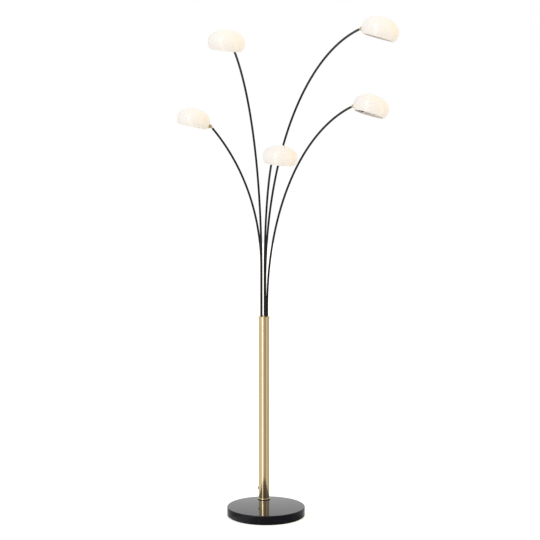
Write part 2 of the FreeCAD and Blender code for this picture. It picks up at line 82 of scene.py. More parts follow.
# %% Sizes
MM = 0.001
FOOT_RADIUS = 150.0 * MM
STONE_BOTTOM = 2.0 * MM
STONE_TOP = 36.0 * MM
POLE = np.array([-8.0, 105.0, 0.0]) * MM
POLE_RADIUS = 21.0 * MM
POLE_BORE_RADIUS = 19.5 * MM
GASKET_TOP = 37.6 * MM
FLANGE_TOP = 42.2 * MM
POLE_TOP = 758.2 * MM
CAP_TOP = 761.7 * MM
SEAT_RADIUS = 12.6 * MM
SEAT_TURN = 6.0
TUBE_RADIUS = 4.0 * MM
TUBE_BORE_RADIUS = 3.0 * MM
STUD_REACH = 7.5 * MM

BRANCHES = {
    "left_low": dict(seat=144.0, rise=190.0, radius=760.0, bend=45.1, heading=214.9,
                     shade_heading=184.5, nose=12.5, roll=1.5),
    "left_high": dict(seat=216.0, rise=170.0, radius=894.0, bend=69.2, heading=260.3,
                      shade_heading=256.0, nose=-5.5, roll=7.0),
    "right_high": dict(seat=288.0, rise=120.0, radius=938.0, bend=82.1, heading=292.9,
                       shade_heading=331.0, nose=-14.5, roll=6.3),
    "right_low": dict(seat=0.0, rise=32.0, radius=792.0, bend=75.9, heading=299.6,
                      shade_heading=328.0, nose=-12.0, roll=12.3),
    "middle": dict(seat=72.0, rise=165.0, radius=510.0, bend=61.9, heading=276.3,
                   shade_heading=292.5, nose=-5.9, roll=3.8),
}
UP = np.array([0.0, 0.0, 1.0])
X_AXIS = np.array([1.0, 0.0, 0.0])


def direction(heading, lift=0.0):
    """A unit vector: cos and sin of the heading, flattened by cos lift, raised by sin lift."""
    h, e = math.radians(heading), math.radians(lift)
    return np.array([math.cos(h) * math.cos(e), math.sin(h) * math.cos(e), math.sin(e)])


class Branch:
    """The lines of one branch: its seat, the arc's end, the ball, and the shade's axes."""

    def __init__(self, numbers):
        seat = POLE + SEAT_RADIUS * direction(SEAT_TURN + numbers["seat"])
        self.seat = seat
        self.bend_start = seat + UP * (CAP_TOP + numbers["rise"] * MM)
        self.radius = numbers["radius"] * MM
        self.bend = math.radians(numbers["bend"])
        self.lean = direction(numbers["heading"])
        self.end = (self.bend_start
                    + self.lean * self.radius * (1 - math.cos(self.bend))
                    + UP * self.radius * math.sin(self.bend))
        self.tangent = self.lean * math.sin(self.bend) + UP * math.cos(self.bend)
        self.ball = self.end + self.tangent * STUD_REACH
        self.fixing = direction(numbers["shade_heading"], numbers["nose"])
        lifted = direction(numbers["shade_heading"], numbers["nose"] + 90)
        roll = math.radians(numbers["roll"])
        self.shade_up = (lifted * math.cos(roll)
                         + np.cross(lifted, self.fixing) * math.sin(roll))
        hinge = np.cross(self.tangent, self.fixing)
        self.hinge = hinge / np.linalg.norm(hinge)


branches = {place: Branch(numbers) for place, numbers in BRANCHES.items()}
for place, branch in branches.items():
    print("%-11s ball at %s" % (place, np.round(branch.ball, 4)))

# %% [markdown]
# ## Surfaces from formulas
# Nearly every piece of a lamp is turned, drawn or bent, so two formulas make nearly all of
# them: a profile turned about an axis, and a circle carried along a line. Both give a grid
# of points, and one helper turns any grid into a closed mesh. Working on whole arrays keeps
# it quick, and the shape can be read from the formula.

# %% From a grid of points to a mesh
COINCIDE = 1e-9


def smooth_faces(mesh, smooth_angle):
    """Shades every face smooth, and keeps edges sharper than the angle in degrees."""
    mesh.polygons.foreach_set("use_smooth", np.ones(len(mesh.polygons), dtype=bool))
    mesh.set_sharp_from_angle(angle=math.radians(smooth_angle))


def mesh_piece(name, points, quads, material):
    """An object from (points, 3) places and (faces, 4) corners, made as whole arrays.

    A corner that repeats the one before it is left out, which makes its quad a triangle.
    Each face starts in the list of corners at the sum of the sizes of the faces before it.
    """
    kept = quads != np.roll(quads, 1, axis=1)
    sizes = kept.sum(axis=1)
    mesh = bpy.data.meshes.new(name)
    mesh.vertices.add(len(points))
    mesh.loops.add(int(sizes.sum()))
    mesh.polygons.add(len(quads))
    mesh.vertices.foreach_set("co", points.astype(np.float32).ravel())
    mesh.loops.foreach_set("vertex_index", quads[kept].astype(np.int32))
    mesh.polygons.foreach_set("loop_start", (np.cumsum(sizes) - sizes).astype(np.int32))
    mesh.update(calc_edges=True)
    mesh.materials.append(material)
    piece = bpy.data.objects.new(name, mesh)
    bpy.context.scene.collection.objects.link(piece)
    return piece


def grid_piece(name, rows, material, smooth_angle=40.0):
    """A closed mesh from a (rows, around, 3) grid of points.

    Quads join each row to the next and wrap round. Where the first and the last row each have
    all their points coinciding, both are merged to poles; otherwise the last row joins the first.
    """
    count, around = rows.shape[:2]
    spread = np.abs(rows - rows[:, :1]).max(axis=(1, 2))
    has_poles = spread[0] < COINCIDE and spread[-1] < COINCIDE
    i = np.arange(count - 1 if has_poles else count)[:, None]
    j = np.arange(around)[None, :]
    index = np.arange(count * around).reshape(count, around)
    if has_poles:
        index[0] = index[0, 0]
        index[-1] = index[-1, 0]
    above = np.roll(index, -1, axis=0)
    quads = np.stack([index[i, j], index[i, (j + 1) % around],
                      above[i, (j + 1) % around], above[i, j]], axis=-1).reshape(-1, 4)
    used, packed = np.unique(quads, return_inverse=True)
    piece = mesh_piece(name, rows.reshape(-1, 3)[used], packed.reshape(-1, 4), material)
    smooth_faces(piece.data, smooth_angle)
    return piece


print("points closer than", COINCIDE, "m are one point")

# %% What a mesh measures
def volume(piece):
    """The volume a closed mesh holds: a sixth of the sum of its triangles' triple products."""
    mesh = piece.data
    mesh.calc_loop_triangles()
    points = np.empty(len(mesh.vertices) * 3)
    mesh.vertices.foreach_get("co", points)
    corners = np.empty(len(mesh.loop_triangles) * 3, dtype=np.int32)
    mesh.loop_triangles.foreach_get("vertices", corners)
    a, b, c = points.reshape(-1, 3)[corners.reshape(-1, 3)].transpose(1, 0, 2)
    return float(np.einsum("ij,ij->i", a, np.cross(b, c)).sum() / 6)


def of_faces(piece, what):
    """The "normal" or "center" of each face, as a (faces, 3) array."""
    values = np.empty(len(piece.data.polygons) * 3)
    piece.data.polygons.foreach_get(what, values)
    return values.reshape(-1, 3)


def second_material(piece, material, chosen):
    """Gives the chosen faces of a piece a second material."""
    piece.data.materials.append(material)
    piece.data.polygons.foreach_set("material_index", chosen.astype(np.int32))


cad_volume = sum(volume(thing) for thing in frame["nodes"].values())
print("the CAD model holds", round(cad_volume * 1e6), "cm3")


# %% A profile turned about an axis
def rounded(corners, steps=5):
    """A profile whose corners are rounded: rows of (along, radius, rounding).

    At each corner two quadratic weights blend the points one rounding away on either side
    with the corner itself, which is a Bezier arc tangent to both straight runs.
    """
    corners = np.array(corners, dtype=float)
    places, sizes = corners[:, :2], corners[:, 2]
    t = np.linspace(0.0, 1.0, steps)[:, None]
    out = []
    last = len(places) - 1
    for k, (here, size) in enumerate(zip(places, sizes)):
        if size == 0:
            out.append(here[None, :])
            continue
        before = places[k - 1 if k else last] - here
        after = places[k + 1 if k < last else 0] - here
        p0 = here + before / np.linalg.norm(before) * size
        p1 = here + after / np.linalg.norm(after) * size
        out.append(p0 * (1 - t) ** 2 + here * 2 * t * (1 - t) + p1 * t ** 2)
    return np.concatenate(out)


def turned_rows(profile, origin, axis, side, around=96, swell=None):
    """Rows of a turned shape: origin + axis * along + radius * (side cos u + across sin u).

    swell, where given, is a function of the angle u and the distances along that adds to
    the radius, for ribs and flutes.
    """
    profile = np.asarray(profile, dtype=float)
    across = np.cross(axis, side)
    u = np.linspace(0.0, 2 * np.pi, around, endpoint=False)
    ring = side * np.cos(u)[:, None] + across * np.sin(u)[:, None]
    along, radius = profile[:, 0:1], np.repeat(profile[:, 1:2], around, axis=1)
    if swell is not None:
        radius = radius + swell(u[None, :], along) * (radius > 0)
    return origin + (axis * along)[:, None, :] + ring[None] * radius[..., None]


print("a rounded corner takes", len(rounded([(0, 0, 0), (0, 1, 0.2), (1, 1, 0)])) - 2, "points")


# %% A circle carried along a branch
def branch_line(branch, start, straight_rows=12, arc_rows=90):
    """Points and directions up a branch: the straight run, then the arc.

    On the arc, point = bend_start + lean R (1 - cos a) + up R sin a, with a from 0 to the
    bend, and the direction is lean sin a + up cos a.
    """
    straight = np.linspace(start, branch.bend_start[2], straight_rows)[:-1]
    upright = branch.seat * [1, 1, 0] + UP * straight[:, None]
    a = np.linspace(0.0, branch.bend, arc_rows)[:, None]
    arc = (branch.bend_start + branch.lean * branch.radius * (1 - np.cos(a))
           + UP * branch.radius * np.sin(a))
    headings = [np.repeat(UP[None, :], len(upright), axis=0),
                branch.lean * np.sin(a) + UP * np.cos(a)]
    return np.concatenate([upright, arc]), np.concatenate(headings)


def swept_rows(points, headings, branch, radii, around=40):
    """Rows of circles square to a line: point + radius (side cos u + normal sin u).

    The line lies in one upright plane, so the side is that plane's own normal everywhere
    and the circles never twist.
    """
    side = np.cross(UP, branch.lean)
    normal = np.cross(headings, side)
    u = np.linspace(0.0, 2 * np.pi, around, endpoint=False)
    ring = (side[None, None, :] * np.cos(u)[None, :, None]
            + normal[:, None, :] * np.sin(u)[None, :, None])
    return points[:, None, :] + ring * np.asarray(radii)[:, None, None]


print("points up an arm:", len(branch_line(branches["middle"], POLE_TOP)[0]))

# %% [markdown]
# ## Cutting holes
# A hole in a turned piece is drilled afterwards, as a maker would. The Boolean modifier
# does it, and its result is kept as a plain mesh so that nothing live is left on the piece.

# %% A drill
def keep_modifiers(piece):
    """Replaces a piece's mesh by what its modifiers make of it, and removes them."""
    depsgraph = bpy.context.evaluated_depsgraph_get()
    result = bpy.data.meshes.new_from_object(piece.evaluated_get(depsgraph))
    piece.modifiers.clear()
    piece.data = result


def drill(piece, tools, smooth_angle=40.0):
    """Cuts each tool out of a piece and throws the tools away."""
    for tool in tools:
        cut = piece.modifiers.new("cut", "BOOLEAN")
        cut.object = tool
        cut.operation = "DIFFERENCE"
        cut.solver = "EXACT"
    keep_modifiers(piece)
    for tool in tools:
        bpy.data.objects.remove(tool)
    smooth_faces(piece.data, smooth_angle)


def drill_bit(radius, start, end, axis, side, material, around=48):
    """A plain cylinder between two points on an axis, to cut with."""
    length = float(np.dot(end - start, axis))
    profile = [(0, 0), (0, radius), (length, radius), (length, 0)]
    return grid_piece("bit", turned_rows(profile, start, axis, side, around), material)


print("a bit has", len(turned_rows([(0, 0), (0, 1), (1, 1), (1, 0)], POLE, UP, X_AXIS)), "rows")

# %% [markdown]
# ## Shared finishes
# Two effects come back on several surfaces: the fine unevenness that breaks up a reflection,
# and a colour that drifts a little over a surface. Each is one node group with named inputs,
# built once, so that a change reaches every finish that uses it.

# %% Node helpers
def new_group(name, inputs, outputs):
    """An empty shader node group with named sockets: name, kind and starting value."""
    group = bpy.data.node_groups.new(name, "ShaderNodeTree")
    for label, kind, value in inputs:
        socket = group.interface.new_socket(label, in_out="INPUT", socket_type=kind)
        if value is not None:
            socket.default_value = value
    for label, kind in outputs:
        group.interface.new_socket(label, in_out="OUTPUT", socket_type=kind)
    return group, group.nodes.new("NodeGroupInput"), group.nodes.new("NodeGroupOutput")


def math_node(tree, operation, a, b=None):
    """A math node; each of a and b is a number or a socket."""
    node = tree.nodes.new("ShaderNodeMath")
    node.operation = operation
    for slot, value in enumerate((a, b)):
        if value is None:
            continue
        if isinstance(value, (int, float)):
            node.inputs[slot].default_value = value
        else:
            tree.links.new(value, node.inputs[slot])
    return node.outputs[0]


def finish(name, color, metallic=0.0, roughness=0.5, **sockets):
    """A new material with a Principled shader whose constant sockets are set here."""
    material = bpy.data.materials.new(name)
    material.use_nodes = True
    shader = material.node_tree.nodes["Principled BSDF"]
    shader.inputs["Base Color"].default_value = (*color, 1.0)
    shader.inputs["Metallic"].default_value = metallic
    shader.inputs["Roughness"].default_value = roughness
    for label, value in sockets.items():
        shader.inputs[label.replace("_", " ")].default_value = value
    material.diffuse_color = (*color, 1.0)
    return material, shader


# %% The two groups' shared noise
FLOAT, COLOR, VECTOR = "NodeSocketFloat", "NodeSocketColor", "NodeSocketVector"


def stretched_noise(group, group_in, detail):
    """Noise over Object coordinates times the group's Stretch, at the group's Scale."""
    place = group.nodes.new("ShaderNodeTexCoord")
    stretched = group.nodes.new("ShaderNodeVectorMath")
    stretched.operation = "MULTIPLY"
    noise = group.nodes.new("ShaderNodeTexNoise")
    noise.inputs["Detail"].default_value = detail
    group.links.new(place.outputs["Object"], stretched.inputs[0])
    group.links.new(group_in.outputs["Stretch"], stretched.inputs[1])
    group.links.new(stretched.outputs[0], noise.inputs["Vector"])
    group.links.new(group_in.outputs["Scale"], noise.inputs["Scale"])
    return noise.outputs["Fac"]


# %% The drift and grain groups
drift_group, drift_in, drift_out = new_group(
    "surface drift",
    [("Color A", COLOR, (0.5, 0.5, 0.5, 1)), ("Color B", COLOR, (0.6, 0.6, 0.6, 1)),
     ("Scale", FLOAT, 20.0), ("Stretch", VECTOR, (1, 1, 1)),
     ("Roughness A", FLOAT, 0.3), ("Roughness B", FLOAT, 0.4)],
    [("Color", COLOR), ("Roughness", FLOAT)])
drift_noise = stretched_noise(drift_group, drift_in, 4.0)
for label, kind in (("Color", "RGBA"), ("Roughness", "FLOAT")):
    blend = drift_group.nodes.new("ShaderNodeMix")
    blend.data_type = kind
    drift_group.links.new(drift_noise, blend.inputs["Factor"])
    drift_group.links.new(drift_in.outputs[label + " A"], blend.inputs["A"])
    drift_group.links.new(drift_in.outputs[label + " B"], blend.inputs["B"])
    drift_group.links.new(blend.outputs["Result"], drift_out.inputs[label])

grain_group, grain_in, grain_out = new_group(
    "fine grain", [("Scale", FLOAT, 900.0), ("Stretch", VECTOR, (1, 1, 1))], [("Height", FLOAT)])
grain_group.links.new(stretched_noise(grain_group, grain_in, 2.0), grain_out.inputs["Height"])
print("groups:", drift_group.name, "and", grain_group.name)


# %% Placing the groups in a finish
def use_group(material, group, **values):
    """Places a group in a material and sets its own inputs."""
    node = material.node_tree.nodes.new("ShaderNodeGroup")
    node.node_tree = group
    for label, value in values.items():
        node.inputs[label.replace("_", " ")].default_value = value
    return node


def drifting(material, shader, color_a, color_b, scale, rough_a, rough_b, stretch=(1, 1, 1)):
    """Lets a finish's colour and gloss drift between two values over its surface."""
    node = use_group(material, drift_group, Color_A=(*color_a, 1), Color_B=(*color_b, 1),
                     Scale=scale, Roughness_A=rough_a, Roughness_B=rough_b, Stretch=stretch)
    material.node_tree.links.new(node.outputs["Color"], shader.inputs["Base Color"])
    material.node_tree.links.new(node.outputs["Roughness"], shader.inputs["Roughness"])


def grained(material, shader, scale, depth, stretch=(1, 1, 1)):
    """Adds a fine bump of the given depth in metres."""
    grain = use_group(material, grain_group, Scale=scale, Stretch=stretch)
    bump = material.node_tree.nodes.new("ShaderNodeBump")
    bump.inputs["Distance"].default_value = depth
    material.node_tree.links.new(grain.outputs["Height"], bump.inputs["Height"])
    material.node_tree.links.new(bump.outputs["Normal"], shader.inputs["Normal"])


def drifting_finish(name, color, drift, grain=None, **sockets):
    """A material whose colour and gloss drift, with a grain where one is given.

    drift is two colours, a scale, two roughnesses and, where it is stretched, a stretch.
    grain is a scale, a depth and, where it is stretched, a stretch.
    """
    material, shader = finish(name, color, **sockets)
    drifting(material, shader, *drift)
    if grain:
        grained(material, shader, *grain)
    return material


def grey(level):
    """A colour of one level."""
    return (level, level, level)


# %% [markdown]
# ## Brass and black paint
# The pole is drawn tube with a pale champagne brass finish, polished along its length, so
# its grain is stretched upright and its highlights are long upright bands. Turned pieces
# have no such direction. The arms are stoved black with a satin gloss. One colour and one
# gloss would do from far off, but a slow drift of both is what breaks up a reflection.

# %% Brass
BRASS_PALE = (0.87, 0.69, 0.42)
BRASS_DEEP = (0.80, 0.61, 0.35)

brass = drifting_finish("pole brass", BRASS_PALE,
                        (BRASS_PALE, BRASS_DEEP, 60.0, 0.13, 0.20, (1, 1, 0.04)),
                        (1400.0, 0.00001, (1, 1, 0.02)), metallic=1.0, roughness=0.16)
turned_brass = drifting_finish("turned brass", BRASS_PALE,
                               (BRASS_PALE, BRASS_DEEP, 90.0, 0.14, 0.19),
                               (2200.0, 0.000003), metallic=1.0, roughness=0.18)
print("brass drifts from", BRASS_PALE, "to", BRASS_DEEP)

# %% Black paint
black_paint = drifting_finish("stoved black", (0.008, 0.008, 0.009),
                              ((0.006, 0.006, 0.007), (0.011, 0.011, 0.012), 90.0, 0.27, 0.36),
                              (3000.0, 0.000006), roughness=0.32, Specular_IOR_Level=0.22)
print("made", black_paint.name)

# %% [markdown]
# ## Black marble
# The foot is black marble, so highly polished that its top mirrors the pole, with faint
# grey veins and a few paler flecks. A vein runs where a noise crosses its middle value, and
# a fleck is the middle of a cell of scattered points. A photograph of stone could be laid on
# instead, but formulas fit any foot and never repeat.

# %% Helpers for patterns
def falling(tree, value, low, high):
    """1 where the value is below low, 0 above high, and a straight fall between."""
    node = tree.nodes.new("ShaderNodeMapRange")
    node.inputs["From Min"].default_value = low
    node.inputs["From Max"].default_value = high
    node.inputs["To Min"].default_value = 1.0
    node.inputs["To Max"].default_value = 0.0
    tree.links.new(value, node.inputs["Value"])
    return node.outputs["Result"]


def color_blend(tree, factor, color_a, color_b):
    """color_a where the factor is 0, color_b where it is 1; color_a may be a socket."""
    node = tree.nodes.new("ShaderNodeMix")
    node.data_type = "RGBA"
    tree.links.new(factor, node.inputs["Factor"])
    if isinstance(color_a, tuple):
        node.inputs["A"].default_value = (*color_a, 1)
    else:
        tree.links.new(color_a, node.inputs["A"])
    node.inputs["B"].default_value = (*color_b, 1)
    return node.outputs["Result"]


# %% Black marble
STONE_DARK = (0.006, 0.006, 0.0085)
STONE_VEIN = (0.014, 0.014, 0.018)
STONE_FLECK = (0.030, 0.030, 0.036)
VEIN_WIDTH = 0.014
FLECK_EDGE = (0.06, 0.16)

marble, marble_shader = finish("black marble", (0.012, 0.012, 0.014), roughness=0.03, IOR=1.52)
stone_nodes = marble.node_tree
stone_place = stone_nodes.nodes.new("ShaderNodeTexCoord").outputs["Object"]
vein_noise = stone_nodes.nodes.new("ShaderNodeTexNoise")
vein_noise.inputs["Scale"].default_value = 9.0
vein_noise.inputs["Detail"].default_value = 9.0
vein_noise.inputs["Distortion"].default_value = 1.3
stone_nodes.links.new(stone_place, vein_noise.inputs["Vector"])
from_middle = math_node(stone_nodes, "ABSOLUTE",
                        math_node(stone_nodes, "SUBTRACT", vein_noise.outputs["Fac"], 0.5))
veined = color_blend(stone_nodes, falling(stone_nodes, from_middle, 0.0, VEIN_WIDTH),
                     STONE_DARK, STONE_VEIN)
cells = stone_nodes.nodes.new("ShaderNodeTexVoronoi")
cells.inputs["Scale"].default_value = 260.0
stone_nodes.links.new(stone_place, cells.inputs["Vector"])
flecked = color_blend(stone_nodes, falling(stone_nodes, cells.outputs["Distance"], *FLECK_EDGE),
                      veined, STONE_FLECK)
stone_nodes.links.new(flecked, marble_shader.inputs["Base Color"])
print("stone from", STONE_DARK, "to", STONE_FLECK)

# %% [markdown]
# ## The foot's ground side
# Only the top is polished to a mirror. The side is ground, so it shows the floor as a dull
# dark sheen. The same stone with a duller, weaker reflection does that.

# %% The ground side
side_marble = marble.copy()
side_marble.name = "ground marble"
side_shader = side_marble.node_tree.nodes["Principled BSDF"]
side_shader.inputs["Roughness"].default_value = 0.12
side_shader.inputs["Specular IOR Level"].default_value = 0.10
print("made", side_marble.name)

# %% [markdown]
# ## Opal glass
# Opal glass is white because tiny crystals scatter light inside it, under a glossy skin.
# Subsurface scattering could show that, but a wall this white and thin looks the same with
# a plain pale body, and a slow drift between a cool and a warm white gives the cloudiness of
# blown glass. The inside has its own duller white, painted paler than the outside: this is
# painted light that stands in for the light the thin wall lets through, and it keeps the open
# mouth from looking dark.

# %% Opal glass
opal = drifting_finish("opal glass", (0.90, 0.87, 0.83),
                       ((0.95, 0.93, 0.895), (0.94, 0.91, 0.87), 14.0, 0.06, 0.11),
                       roughness=0.08, IOR=1.50)
# Painted light: the inside's white is paler than the outside's, standing in for light let through
# the wall.
inner_opal_painted_light = drifting_finish("opal glass inside painted light", (0.97, 0.95, 0.94),
                             ((0.985, 0.965, 0.95), (0.98, 0.95, 0.93), 14.0, 0.25, 0.38),
                             roughness=0.30, IOR=1.50)
print("made", opal.name, "and", inner_opal_painted_light.name)

# %% [markdown]
# ## The small finishes
# Rubber, felt, plated steel and plastic are seldom seen, but the lamp is looked at from
# below and in parts too, so each has its own drift, and the rubber, felt, sleeve, zinc and
# cast alloy a grain as well.

# %% Rubber, felt and woven sleeve
rubber = drifting_finish("black rubber", grey(0.014), (grey(0.011), grey(0.018), 150.0, 0.6, 0.8),
                         (4000.0, 0.00002), roughness=0.7)
felt = drifting_finish("felt", grey(0.03), (grey(0.022), grey(0.04), 400.0, 0.9, 1.0),
                       (1500.0, 0.0002), roughness=0.95)
sleeve = drifting_finish("black sleeve", grey(0.03), (grey(0.022), grey(0.045), 900.0, 0.75, 0.9),
                         (3000.0, 0.00008), roughness=0.8)
fibre = drifting_finish("red fibre", (0.42, 0.16, 0.10),
                        ((0.46, 0.18, 0.11), (0.36, 0.13, 0.08), 500.0, 0.75, 0.85),
                        roughness=0.8)
print("soft finishes:", rubber.name, felt.name, sleeve.name, fibre.name)

# %% Plated, cast and drawn metal
zinc = drifting_finish("zinc plate", (0.62, 0.62, 0.60),
                       ((0.66, 0.66, 0.64), (0.56, 0.57, 0.55), 200.0, 0.26, 0.40),
                       (2500.0, 0.00001), metallic=1.0, roughness=0.32)
alloy = drifting_finish("cast alloy", grey(0.58),
                        (grey(0.60), (0.53, 0.53, 0.54), 180.0, 0.38, 0.52),
                        (1800.0, 0.00003), metallic=1.0, roughness=0.45)
tungsten = drifting_finish("tungsten", (0.35, 0.34, 0.33),
                           ((0.38, 0.37, 0.36), (0.30, 0.29, 0.28), 800.0, 0.35, 0.5),
                           metallic=1.0, roughness=0.4)
print("metals:", zinc.name, alloy.name, tungsten.name)

# %% Plastic and clear glass
white_plastic = drifting_finish("white plastic", (0.80, 0.80, 0.77),
                                ((0.82, 0.82, 0.79), (0.77, 0.77, 0.73), 120.0, 0.42, 0.56),
                                roughness=0.5)
brown_plastic = drifting_finish("brown phenolic", (0.050, 0.027, 0.019),
                                ((0.056, 0.030, 0.020), (0.040, 0.022, 0.016),
                                 160.0, 0.28, 0.42), roughness=0.34)
clear_glass = drifting_finish("clear glass", (0.97, 0.98, 0.98),
                              ((0.98, 0.99, 0.99), (0.95, 0.96, 0.96), 60.0, 0.01, 0.03),
                              roughness=0.02, IOR=1.46, Transmission_Weight=1.0)
print("hard finishes:", white_plastic.name, brown_plastic.name, clear_glass.name)

# %% [markdown]
# ## What stays as the CAD made it
# The pieces inside the pole and foot are simple and their shapes are right, so they keep
# their CAD meshes and only get a finish. The record names each node's material slot.

# %% Finishes on the CAD nodes
FINISH_OF_SLOT = {
    "marble": marble, "felt": felt, "zinc_steel": zinc, "black_rubber": rubber,
    "brass": turned_brass, "white_plastic": white_plastic, "cast_alloy": alloy,
    "fibre": fibre, "black_paint": black_paint, "lead_sleeve": sleeve,
    "brown_plastic": brown_plastic, "bulb_glass": clear_glass, "opal_glass": opal,
}
slot_of_node = {row["node"]: row["material_slot"] for row in frame["record"]["subparts"]}
for node, thing in frame["nodes"].items():
    thing.data.materials.clear()
    thing.data.materials.append(FINISH_OF_SLOT[slot_of_node[node]])
print("finished", len(frame["nodes"]), "CAD nodes")


def stands_for(piece, node, body):
    """This piece replaces a CAD node and moves with that node's body."""
    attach(piece, body)
    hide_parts(node)
    print("%-28s %6.1f cm3" % (piece.name, volume(piece) * 1e6))


# %% [markdown]
# ## The stone foot
# The real foot is a disc sawn from slab, ground round, with its top arris polished to a
# narrow bright bevel. A turned profile gives all of that; the pocket for the nut and the
# hole for the rod are cut from below, off centre, under the pole.

# %% The stone foot
BEVEL = 1.6 * MM
LOWER_ARRIS = 1.0 * MM
NUT_POCKET_RADIUS = 23.0 * MM
NUT_POCKET_TOP = 14.0 * MM
ROD_HOLE_RADIUS = 5.3 * MM
ROD_BIT_TOP = 50.0 * MM
OVERCUT = UP * 5.0 * MM
SIDE_SLOPE = 0.3

stone_profile = rounded([
    (STONE_BOTTOM, 0, 0), (STONE_BOTTOM, FOOT_RADIUS - LOWER_ARRIS, 0.3 * MM),
    (STONE_BOTTOM + LOWER_ARRIS, FOOT_RADIUS, 0.3 * MM),
    (STONE_TOP - BEVEL, FOOT_RADIUS, 0.5 * MM), (STONE_TOP, FOOT_RADIUS - BEVEL, 0.5 * MM),
    (STONE_TOP, 0, 0)])
foot = grid_piece("stone_foot", turned_rows(stone_profile, np.zeros(3), UP, X_AXIS, 256),
                  marble, 30.0)
pocket = drill_bit(NUT_POCKET_RADIUS, POLE - OVERCUT, POLE + UP * NUT_POCKET_TOP, UP, X_AXIS,
                   marble, 64)
rod_hole = drill_bit(ROD_HOLE_RADIUS, POLE - OVERCUT, POLE + UP * ROD_BIT_TOP, UP, X_AXIS,
                     marble)
drill(foot, [pocket, rod_hole], 30.0)
second_material(foot, side_marble, np.abs(of_faces(foot, "normal")[:, 2]) < SIDE_SLOPE)
stands_for(foot, "marble_base", "stand")

# %% [markdown]
# ## The pole, its foot ring and its cap
# The pole is a tube, the ring below it and the cap above are turned. They are told apart
# in the picture only by the thin bright edges of their chamfers, so those edges are rounded
# a fraction of a millimetre, and the tube's two ends butt against them.

# %% Gasket and ring
GASKET_RADIUS = 23.5 * MM
RING_RADIUS = 22.8 * MM
RING_CHAMFER = 1.2 * MM
SPIGOT_RADIUS = 19.45 * MM
SPIGOT_TOP = FLANGE_TOP + 15.0 * MM


def ring(name, corners, around, material):
    """A turned ring about the pole's axis from a closed profile of (level, radius, rounding)."""
    return grid_piece(name, turned_rows(rounded(corners), POLE, UP, X_AXIS, around), material)


gasket = ring("foot_seal", [
    (STONE_TOP, ROD_HOLE_RADIUS, 0), (STONE_TOP, GASKET_RADIUS, 0.3 * MM),
    (GASKET_TOP, GASKET_RADIUS, 0.5 * MM), (GASKET_TOP, ROD_HOLE_RADIUS, 0)], 128, rubber)
stands_for(gasket, "foot_gasket", "stand")

flange = ring("foot_ring", [
    (GASKET_TOP, ROD_HOLE_RADIUS, 0), (GASKET_TOP, RING_RADIUS, 0.3 * MM),
    (FLANGE_TOP - RING_CHAMFER, RING_RADIUS, 0.4 * MM),
    (FLANGE_TOP, RING_RADIUS - RING_CHAMFER, 0.4 * MM),
    (FLANGE_TOP, SPIGOT_RADIUS, 0), (SPIGOT_TOP, SPIGOT_RADIUS, 0.5 * MM),
    (SPIGOT_TOP, ROD_HOLE_RADIUS, 0)], 128, turned_brass)
stands_for(flange, "foot_flange", "stand")

# %% The pole tube
INLET_HEADING = 165.0
INLET_LEVEL = 80.0 * MM
INLET_RADIUS = 5.0 * MM
INLET_BIT = (10.0 * MM, 30.0 * MM)
inlet_out = direction(INLET_HEADING)
inlet_centre = POLE + UP * INLET_LEVEL

pole = ring("pole", [
    (FLANGE_TOP, POLE_BORE_RADIUS, 0), (FLANGE_TOP, POLE_RADIUS, 0.25 * MM),
    (POLE_TOP, POLE_RADIUS, 0.25 * MM), (POLE_TOP, POLE_BORE_RADIUS, 0)], 144, brass)
inlet_bit = drill_bit(INLET_RADIUS, inlet_centre + inlet_out * INLET_BIT[0],
                      inlet_centre + inlet_out * INLET_BIT[1], inlet_out, UP, brass)
drill(pole, [inlet_bit])
stands_for(pole, "pole_tube", "stand")

# %% The cap
CAP_RADIUS = 22.2 * MM
CAP_SKIRT = 5.0 * MM
CAP_CHAMFER = 1.7 * MM
CAP_SCREW_RADIUS = 2.8 * MM
ARM_HOLE_RADIUS = 4.3 * MM
CAP_OVERCUT = 20.0 * MM

cap = ring("cap", [
    (POLE_TOP - CAP_SKIRT, POLE_RADIUS, 0), (POLE_TOP - CAP_SKIRT, CAP_RADIUS, 0.3 * MM),
    (CAP_TOP - CAP_CHAMFER, CAP_RADIUS, 0.4 * MM), (CAP_TOP, CAP_RADIUS - CAP_CHAMFER, 0.4 * MM),
    (CAP_TOP, CAP_SCREW_RADIUS, 0.2 * MM), (POLE_TOP, CAP_SCREW_RADIUS, 0),
    (POLE_TOP, POLE_RADIUS, 0)], 144, turned_brass)
bits = [drill_bit(ARM_HOLE_RADIUS, branch.seat + UP * (POLE_TOP - CAP_OVERCUT),
                  branch.seat + UP * (CAP_TOP + CAP_OVERCUT), UP, X_AXIS, turned_brass, 40)
        for branch in branches.values()]
drill(cap, bits)
stands_for(cap, "pole_cap", "stand")

# %% [markdown]
# ## The bush for the mains lead
# A rubber bush snaps into a hole in the pole. Its outer lip lies on the tube, so the back of
# the lip follows the tube's roundness: where the flat profile says the surface of the pole,
# the point moves in by R - sqrt(R^2 - y^2), the sagitta of the tube at that distance y.

# %% The bush
def saddle(rows, centre, out, radius):
    """Presses rows of points back onto a cylinder of that radius, by its sagitta."""
    sideways = np.cross(UP, out)
    y = (rows - centre) @ sideways
    return rows - out * (radius - np.sqrt(radius ** 2 - y ** 2))[..., None]


BUSH_BORE_RADIUS = 3.3 * MM
BUSH_LIP_RADIUS = 6.5 * MM
BUSH_BACK = 18.0 * MM
BUSH_EDGE = 23.3 * MM
BUSH_FRONT = 23.6 * MM

